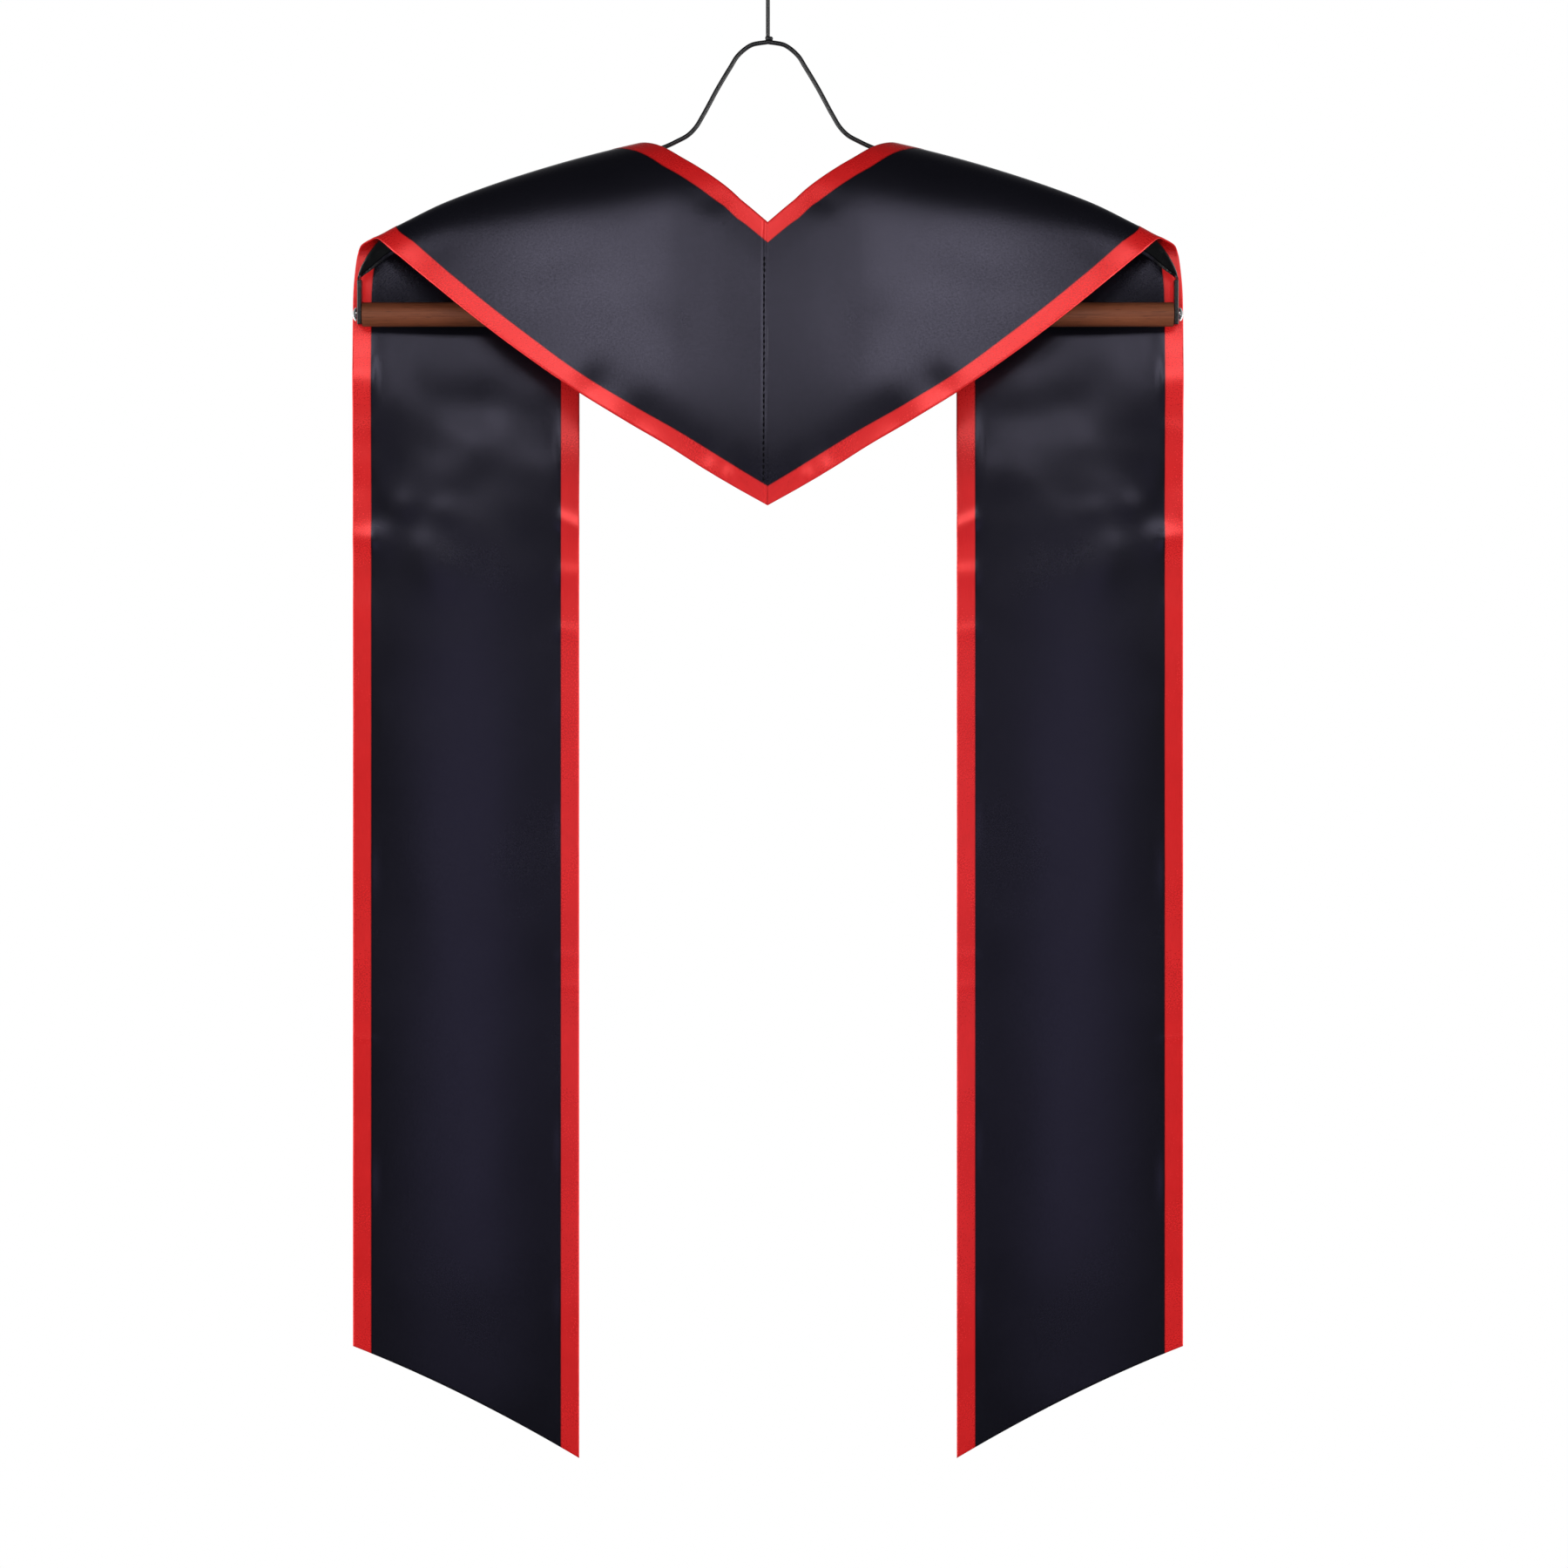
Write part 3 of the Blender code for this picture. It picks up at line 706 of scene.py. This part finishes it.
def wood():
    n = Nodes("varnished_wood")
    long = n.place("Object", (1.0, 14.0, 14.0))
    figure = n.noise(n.place("Object", (3.2, 60.0, 60.0)), 1.0, 3.0, 0.55, 0.7)
    lines = n.noise(n.place("Object", (22.0, 1300.0, 1300.0)), 1.0, 3.0, 0.65)
    pores = n.noise(n.place("Object", (130.0, 2600.0, 2600.0)), 1.0, 1.0, 0.5)
    tone = n.maths("ADD", n.maths("MULTIPLY", figure, 0.55), n.maths("MULTIPLY", lines, 0.45))
    colour = n.ramp(
        tone,
        (
            (0.32, (0.070, 0.0200, 0.0085)),
            (0.46, (0.104, 0.0305, 0.0133)),
            (0.56, (0.129, 0.0395, 0.0175)),
            (0.70, (0.160, 0.054, 0.0250)),
        ),
    )
    dark = n.mapped(pores, 0.60, 0.70, 1.0, 0.55)
    shade = n.mix(1.0, colour, n.ramp(dark, ((0.0, (0, 0, 0)), (1.0, (1, 1, 1)))), "MULTIPLY")
    n.link(shade, n.shader.inputs["Base Color"])
    cloudy = n.noise(long, 5.0, 3.0, 0.6)
    n.link(n.mapped(cloudy, 0.3, 0.7, 0.40, 0.54), n.shader.inputs["Roughness"])
    normal = n.bump(lines, 0.00004)
    n.link(n.bump(pores, 0.00002, 1.0, normal), n.shader.inputs["Normal"])
    n.shader.inputs["Specular IOR Level"].default_value = 0.28
    return n.made


def thread():
    n = Nodes("black_thread")
    ply = n.add("TexWave", wave_type="BANDS", bands_direction="DIAGONAL")
    n.put(ply, Scale=900.0, Distortion=0.4)
    n.link(n.place("Object", (1.0, 1.0, 1.0)), ply.inputs["Vector"])
    n.link(
        n.mix(ply.outputs["Fac"], (0.0012, 0.0012, 0.0016), (0.0030, 0.0030, 0.0038)),
        n.shader.inputs["Base Color"],
    )
    n.link(n.mapped(ply.outputs["Fac"], 0.0, 1.0, 0.70, 0.85), n.shader.inputs["Roughness"])
    n.shader.inputs["Specular IOR Level"].default_value = 0.12
    n.link(n.bump(ply.outputs["Fac"], 0.00004), n.shader.inputs["Normal"])
    return n.made


BLACK = satin(
    "satin_black_cloth",
    (0.0020, 0.0020, 0.0030),
    (0.0027, 0.0027, 0.0040),
    0.245,
    (0.78, 0.74, 1.0),
    0.60,
    1.0,
    0.0,
)
RED = satin(
    "satin_red_cloth",
    (0.60, 0.0090, 0.0098),
    (0.70, 0.0130, 0.0138),
    0.265,
    (1.0, 0.92, 0.90),
    0.95,
    0.10,
    0.40,
)
PAINT = painted_steel("black_paint", 0.32, 0.42, 0.95)
GLOSS = painted_steel("black_enamel", 0.17, 0.25, 0.55)
STEEL = bright_steel()
WOOD = wood()
THREAD = thread()

# ------------------------------------------------------------ the cloth pieces
SATIN_MIDDLE = 46
TUCK = 0.45  # how far the satin runs in under the band at their seam


def lines_of(low, high, per_low, per_high, low_steps, high_steps, middle):
    """Columns between two shares of the width: some at set distances in mm from each end, and the rest spread evenly."""
    low_side = [low + per_low * d for d in low_steps]
    high_side = [high - per_high * d for d in high_steps][::-1]
    a, b = low_side[-1], high_side[0]
    between = [mixed(a, b, k / middle) for k in range(1, middle)]
    return np.stack([*low_side, *between, *high_side], -1)


def satin_half(inner, outer, at):
    return np.full_like(inner, SATIN_HALF)


def inner_band_half(inner, outer, at):
    return BAND_HALF * mixed(0.10, 1.0, smooth_edge(inner, 0.8))


def outer_band_half(inner, outer, at):
    return BAND_HALF * mixed(0.10, 1.0, smooth_edge(outer, 0.8))


EDGE_STEPS = (0.0, 0.06, 0.20, 0.42, 0.80, 1.5)
SEAM_STEPS = (0.0, 0.12, 0.25, 0.40, 0.8)
TUCK_STEPS = (-TUCK, 0.0, 0.15, 0.3, 0.7, 1.3, 2.4)
zero, one = np.zeros_like(AT), np.ones_like(AT)
neck_seam = INNER_PER_MM * NECK_BAND
hem_seam = 1 - OUTER_PER_MM * HEM_BAND
SATIN_SHARES = lines_of(
    neck_seam,
    hem_seam,
    INNER_PER_MM,
    OUTER_PER_MM,
    TUCK_STEPS,
    TUCK_STEPS,
    SATIN_MIDDLE,
)
INNER_SHARES = lines_of(
    zero, neck_seam, INNER_PER_MM, INNER_PER_MM, EDGE_STEPS, SEAM_STEPS, 5
)
OUTER_SHARES = lines_of(
    hem_seam, one, OUTER_PER_MM, OUTER_PER_MM, SEAM_STEPS, EDGE_STEPS, 5
)

cloth_pieces = {}
for side, word in ((1, "right"), (-1, "left")):
    main = shell(
        "stole_satin_" + word, grid(SATIN_SHARES, side, satin_half, True), side, BLACK
    )
    inner = shell(
        "stole_inner_band_" + word,
        grid(INNER_SHARES, side, inner_band_half, True),
        side,
        RED,
    )
    outer = shell(
        "stole_outer_band_" + word,
        grid(OUTER_SHARES, side, outer_band_half, True),
        side,
        RED,
    )
    for piece, node, slot in (
        (main, "satin_", "satin_black"),
        (inner, "inner_band_", "satin_red"),
        (outer, "outer_band_", "satin_red"),
    ):
        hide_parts(node + word)
        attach(piece, "root")
    cloth_pieces[word] = (main, inner, outer)


# ------------------------------------------------------- stitches and the seam
def sweep(points, radii, sides=16, flatten=1.0):
    """Vertices and faces of a round rod along points, closed at both ends."""
    points = np.asarray(points, float)
    ahead = unit(np.gradient(points, axis=0))
    start = np.array([0.0, 1.0, 0.0])
    if abs(ahead[0] @ start) > 0.9:
        start = np.array([1.0, 0.0, 0.0])
    rings = []
    for p, way, r in zip(points, ahead, radii):
        start = start - way * (way @ start)
        start = start / np.linalg.norm(start)
        other = np.cross(way, start)
        turns = np.arange(sides) * 2 * math.pi / sides
        rings.append(
            p
            + r * flatten * np.cos(turns)[:, None] * start
            + r * np.sin(turns)[:, None] * other
        )
    vertices = np.concatenate(rings)
    n = len(points)
    faces = []
    for i in range(n - 1):
        for k in range(sides):
            j = (k + 1) % sides
            faces.append((i * sides + k, i * sides + j, (i + 1) * sides + j, (i + 1) * sides + k))
    faces.append(tuple(range(sides))[::-1])
    faces.append(tuple(range((n - 1) * sides, n * sides)))
    return vertices, faces


def joined(name, parts, finish):
    """One object from several (vertices, faces), in mm."""
    vertices, faces, first = [], [], 0
    for v, f in parts:
        vertices.append(v)
        faces += [tuple(first + i for i in face) for face in f]
        first += len(v)
    mesh = bpy.data.meshes.new(name)
    mesh.from_pydata((np.concatenate(vertices) * MM).tolist(), [], faces)
    mesh.validate()
    mesh.shade_smooth()
    mesh.materials.append(finish)
    made = bpy.data.objects.new(name, mesh)
    bpy.context.scene.collection.objects.link(made)
    return made


def capsule(a, b, radius, sides=10, flatten=1.0, sag=0.0, sag_way=(0, 1, 0)):
    """A round-ended rod from a to b that dips by sag at its ends."""
    a, b = np.asarray(a, float), np.asarray(b, float)
    ends = (0.0, 0.04, 0.13, 0.28, 0.5, 0.72, 0.87, 0.96, 1.0)
    fat = (0.12, 0.55, 0.86, 1.0, 1.0, 1.0, 0.86, 0.55, 0.12)
    way = np.asarray(sag_way, float)
    points = [mixed(a, b, t) + way * sag * (2 * t - 1) ** 2 for t in ends]
    return sweep(points, [radius * k for k in fat], sides, flatten)


# Front of the cloth at the stitch line, read from the left half's satin.
left = cloth_pieces["left"][0].data
co = np.empty(len(left.vertices) * 3, np.float32)
left.vertices.foreach_get("co", co)
co = co.reshape(-1, 3)[: len(left.vertices) // 2].astype(float) / MM
near_seam = co[(co[:, 0] > -6.0) & (co[:, 1] < -5.0)]


def front_at(x, z):
    """Depth of the yoke's front face at x, z, from the points of its mesh near there."""
    far = (near_seam[:, 0] - x) ** 2 + ((near_seam[:, 2] - z) * 0.5) ** 2
    nearest = np.argsort(far)[:8]
    weight = 1 / (far[nearest] + 0.02)
    return float((near_seam[nearest, 1] * weight).sum() / weight.sum())


STITCH, PITCH = 2.35, 3.32
maker = np.random.default_rng(5)
stitches, nubs = [], []
z = -203.5
while z > -326.5:
    sway = 0.35 * eased((-z - 205.0) / 30.0) + 0.5 * eased((-z - 262.0) / 50.0)
    x = -(STITCH_X - 0.25 + sway * 0.6) + maker.normal(0, 0.04)
    tilt = maker.normal(0, 0.09)
    y = front_at(x, z - STITCH / 2)
    size = STITCH * maker.uniform(0.92, 1.05)
    stitches.append(
        capsule(
            (x - tilt, y - 0.08, z),
            (x + tilt, y - 0.08, z - size),
            0.50,
            10,
            0.7,
            0.26,
        )
    )
    nubs.append(
        capsule(
            (x - 0.10, y + 0.02, z - size - 0.12),
            (x + 0.08, y + 0.02, z - PITCH + 0.12),
            0.46,
            10,
            0.8,
            0.1,
        )
    )
    z -= PITCH * maker.uniform(0.97, 1.03)

stitching = joined("middle_seam_stitches", stitches, THREAD)
puckered = joined("middle_seam_puckers", nubs, BLACK)
# The puckers count as far from the seam, so they get no painted seam shade.
value = puckered.data.attributes.new("seam", "FLOAT", "POINT")
value.data.foreach_set("value", [9.0] * len(puckered.data.vertices))
uv = puckered.data.uv_layers.new(name="cloth")
for loop, corner in zip(puckered.data.loops, uv.uv):
    p = puckered.data.vertices[loop.vertex_index].co
    corner.vector = (p.x, p.z)
for piece in (stitching, puckered):
    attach(piece, "root")


# ------------------------------------------------------------------ the hanger
HOOK_WIRE, BOW_WIRE = 2.3, 2.6
HOOK_R = 19.0
HOOK_START, HOOK_END = -50.0, 205.0
STEM_TOP, STEM_FOOT = -54.0, -78.0
Bow = namedtuple("Bow", "x z")
BOW = (
    Bow(0.0, -79.6),
    Bow(8.1, -80.9),
    Bow(16.6, -87.0),
    Bow(21.2, -94.1),
    Bow(28.1, -105.6),
    Bow(35.8, -119.8),
    Bow(40.4, -127.4),
    Bow(45.0, -132.0),
    Bow(51.0, -135.3),
    Bow(59.2, -139.0),
    Bow(75.0, -143.3),
    Bow(92.0, -147.6),
    Bow(108.0, -152.2),
)


def hermite(a, b, slope_a, slope_b, t):
    t2, t3 = t * t, t * t * t
    return (
        a * (2 * t3 - 3 * t2 + 1)
        + slope_a * (t3 - 2 * t2 + t)
        + b * (3 * t2 - 2 * t3)
        + slope_b * (t3 - t2)
    )


def on_hook(degrees):
    a = math.radians(degrees)
    middle = HOOK_WIRE / 2 - HOOK_R
    return (HOOK_R * math.cos(a), 0.0, middle + HOOK_R * math.sin(a))


start = on_hook(HOOK_START)
turn = math.radians(HOOK_START + 90)
reach = math.dist(start, (0.0, 0.0, STEM_TOP)) * 1.1
line = [(0.0, 0.0, mixed(STEM_FOOT, STEM_TOP, k / 8)) for k in range(9)]
line += [
    (
        hermite(0.0, start[0], 0.0, math.cos(turn) * reach, k / 24),
        0.0,
        hermite(STEM_TOP, start[2], reach, math.sin(turn) * reach, k / 24),
    )
    for k in range(1, 24)
]
line += [on_hook(mixed(HOOK_START, HOOK_END, k / 96)) for k in range(97)]
radius = HOOK_WIRE / 2
tip_way = unit(np.array(line[-1]) - np.array(line[-2]))
radii = [radius] * len(line)
for k in range(1, 7):  # domed tip
    a = k / 6 * math.pi / 2
    line.append(tuple(np.array(on_hook(HOOK_END)) + tip_way * radius * 0.25 * math.sin(a)))
    radii.append(max(radius * math.cos(a), 0.05))
hook = joined("hook_wire", [sweep(line, radii, 20)], PAINT)

steps = np.linspace(0, len(BOW) - 1, 8 * (len(BOW) - 1) + 1)
half = [(float(x), 0.0, float(z)) for x, z in zip(column(BOW, "x", steps), column(BOW, "z", steps))]
bow_line = [(-x, y, z) for x, y, z in reversed(half[1:])] + half
nub = capsule((-0.9, -0.35, -77.6), (2.9, -0.35, -77.9), 1.25, 14)
collar = capsule((0.0, 0.0, -76.3), (0.0, 0.0, -78.6), 1.55, 16)
bow = joined(
    "bow_wire",
    [sweep(bow_line, [BOW_WIRE / 2] * len(bow_line), 20), nub, collar],
    PAINT,
)
for piece, node in ((hook, "hook"), (bow, "bow")):
    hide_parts(node)
    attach(piece, "root")

for name, finish in (
    ("shoulder_plate_left", GLOSS),
    ("shoulder_plate_right", GLOSS),
    ("end_strap_left", GLOSS),
    ("end_strap_right", GLOSS),
    ("bar", WOOD),
    ("screw_left", STEEL),
    ("screw_right", STEEL),
):
    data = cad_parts[name].data
    data.materials.clear()
    data.materials.append(finish)

# Worn, slightly rounded edges of the pressed steel.
for name in (
    "shoulder_plate_left",
    "shoulder_plate_right",
    "end_strap_left",
    "end_strap_right",
):
    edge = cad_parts[name].modifiers.new("edge", "BEVEL")
    edge.width = 0.32 * MM
    edge.segments = 2
    edge.limit_method = "ANGLE"
    edge.angle_limit = math.radians(50)
    edge.harden_normals = True

for side in ("left", "right"):
    main, inner, outer = cloth_pieces[side]


# ------------------------------------------------------------------ the studio
def softbox(name, place, aim, size, watts, colour=(1.0, 1.0, 1.0), gives="all"):
    lamp = bpy.data.lights.new(name, "AREA")
    lamp.color = colour
    lamp.shape = "RECTANGLE"
    lamp.size, lamp.size_y = size
    lamp.energy = watts
    made = bpy.data.objects.new(name, lamp)
    bpy.context.scene.collection.objects.link(made)
    made.location = place
    made.rotation_euler = (Vector(aim) - Vector(place)).to_track_quat("-Z", "Y").to_euler()
    made.visible_camera = False
    made.visible_glossy = gives != "fill"
    made.visible_diffuse = gives != "sheen"
    return made


HEART = (0.0, 0.0, -0.42)
softbox("front_fill", (0.0, -2.6, -0.45), HEART, (1.8, 0.9), 10.0, gives="fill")
for way in (-1, 1):
    softbox(
        "upper_front",
        (0.76 * way, -2.6, 0.465),
        (0.76 * way, 0.0, -0.235),
        (1.18, 0.47),
        6.5,
        gives="sheen",
    )
    softbox(
        "front_strip",
        (0.172 * way, -0.65, -0.620),
        (0.172 * way, 0.0, -0.620),
        (0.182, 0.55),
        0.180,
        (0.72, 0.66, 1.0),
    )
    beside = (2.15 * way, -1.35, -0.52)
    softbox("side_front", beside, HEART, (1.1, 1.6), 80.0, gives="fill")
    beside = (2.12 * way, -1.33, -0.52)
    softbox("side_gleam", beside, HEART, (1.1, 1.6), 22.0, gives="sheen")
    behind = (1.75 * way, 1.75, -0.75)
    softbox("back_gleam", behind, HEART, (0.7, 1.3), 7.0, gives="sheen")

world = bpy.data.worlds.new("studio")
bpy.context.scene.world = world
world.use_nodes = True
tree = world.node_tree
tree.nodes.clear()
out = tree.nodes.new("ShaderNodeOutputWorld")
choose = tree.nodes.new("ShaderNodeMixShader")
path = tree.nodes.new("ShaderNodeLightPath")
white = tree.nodes.new("ShaderNodeBackground")
white.inputs["Color"].default_value = (1, 1, 1, 1)
room = tree.nodes.new("ShaderNodeBackground")
room.inputs["Strength"].default_value = 1.0
where = tree.nodes.new("ShaderNodeTexCoord")
split = tree.nodes.new("ShaderNodeSeparateXYZ")
fade = tree.nodes.new("ShaderNodeValToRGB")
# Dark towards the front and overhead, bright low down at the back.
spread = tree.nodes.new("ShaderNodeMapRange")
spread.interpolation_type = "SMOOTHSTEP"
spread.inputs["From Min"].default_value = -0.05
spread.inputs["From Max"].default_value = 0.55
high = tree.nodes.new("ShaderNodeMapRange")
high.interpolation_type = "SMOOTHSTEP"
high.inputs["From Min"].default_value = 0.25
high.inputs["From Max"].default_value = 0.75
high.inputs["To Min"].default_value = 1.0
high.inputs["To Max"].default_value = 0.12
both = tree.nodes.new("ShaderNodeMath")
both.operation = "MULTIPLY"
tree.links.new(where.outputs["Generated"], split.inputs["Vector"])
tree.links.new(split.outputs["Y"], spread.inputs["Value"])
tree.links.new(split.outputs["Z"], high.inputs["Value"])
tree.links.new(spread.outputs["Result"], both.inputs[0])
tree.links.new(high.outputs["Result"], both.inputs[1])
tree.links.new(both.outputs["Value"], fade.inputs["Fac"])
fade.color_ramp.elements[0].color = (0.045, 0.046, 0.05, 1)
fade.color_ramp.elements[1].position = 1.0
fade.color_ramp.elements[1].color = (0.85, 0.85, 0.85, 1)
tree.links.new(fade.outputs["Color"], room.inputs["Color"])
tree.links.new(path.outputs["Is Camera Ray"], choose.inputs["Fac"])
tree.links.new(room.outputs["Background"], choose.inputs[1])
tree.links.new(white.outputs["Background"], choose.inputs[2])
tree.links.new(choose.outputs["Shader"], out.inputs["Surface"])

# Floor: pale, fading to the white of the background at its rim.
FLOOR_R = 2.5
bpy.ops.mesh.primitive_circle_add(
    vertices=96, radius=FLOOR_R, fill_type="NGON", location=(0, 0, -2.0)
)
floor = bpy.context.object
floor.name = "studio_floor"
pale = bpy.data.materials.new("pale_floor")
pale.use_nodes = True
tree = pale.node_tree
tree.nodes.clear()
out = tree.nodes.new("ShaderNodeOutputMaterial")
glow = tree.nodes.new("ShaderNodeEmission")
where = tree.nodes.new("ShaderNodeTexCoord")
length = tree.nodes.new("ShaderNodeVectorMath")
length.operation = "LENGTH"
fade = tree.nodes.new("ShaderNodeMapRange")
fade.interpolation_type = "SMOOTHSTEP"
fade.inputs["From Max"].default_value = FLOOR_R
fade.inputs["To Min"].default_value = 0.86
fade.inputs["To Max"].default_value = 1.0
tree.links.new(where.outputs["Object"], length.inputs[0])
tree.links.new(length.outputs["Value"], fade.inputs["Value"])
tree.links.new(fade.outputs["Result"], glow.inputs["Strength"])
tree.links.new(glow.outputs["Emission"], out.inputs["Surface"])
floor.data.materials.append(pale)
floor.visible_diffuse = floor.visible_glossy = False

view = bpy.context.scene.view_settings
view.view_transform = "Standard"
view.look = "None"
view.exposure, view.gamma = 0.0, 1.0

lens = bpy.data.cameras.new("camera")
lens.sensor_width = 36.0
lens.lens = 36.0 / 879.3 * 2400
lens.clip_start, lens.clip_end = 0.05, 50.0
camera = bpy.data.objects.new("camera", lens)
bpy.context.scene.collection.objects.link(camera)
camera.location = (0.00904, -2.4, -0.49567)
camera.rotation_euler = (math.pi / 2, 0, 0)
bpy.context.scene.camera = camera
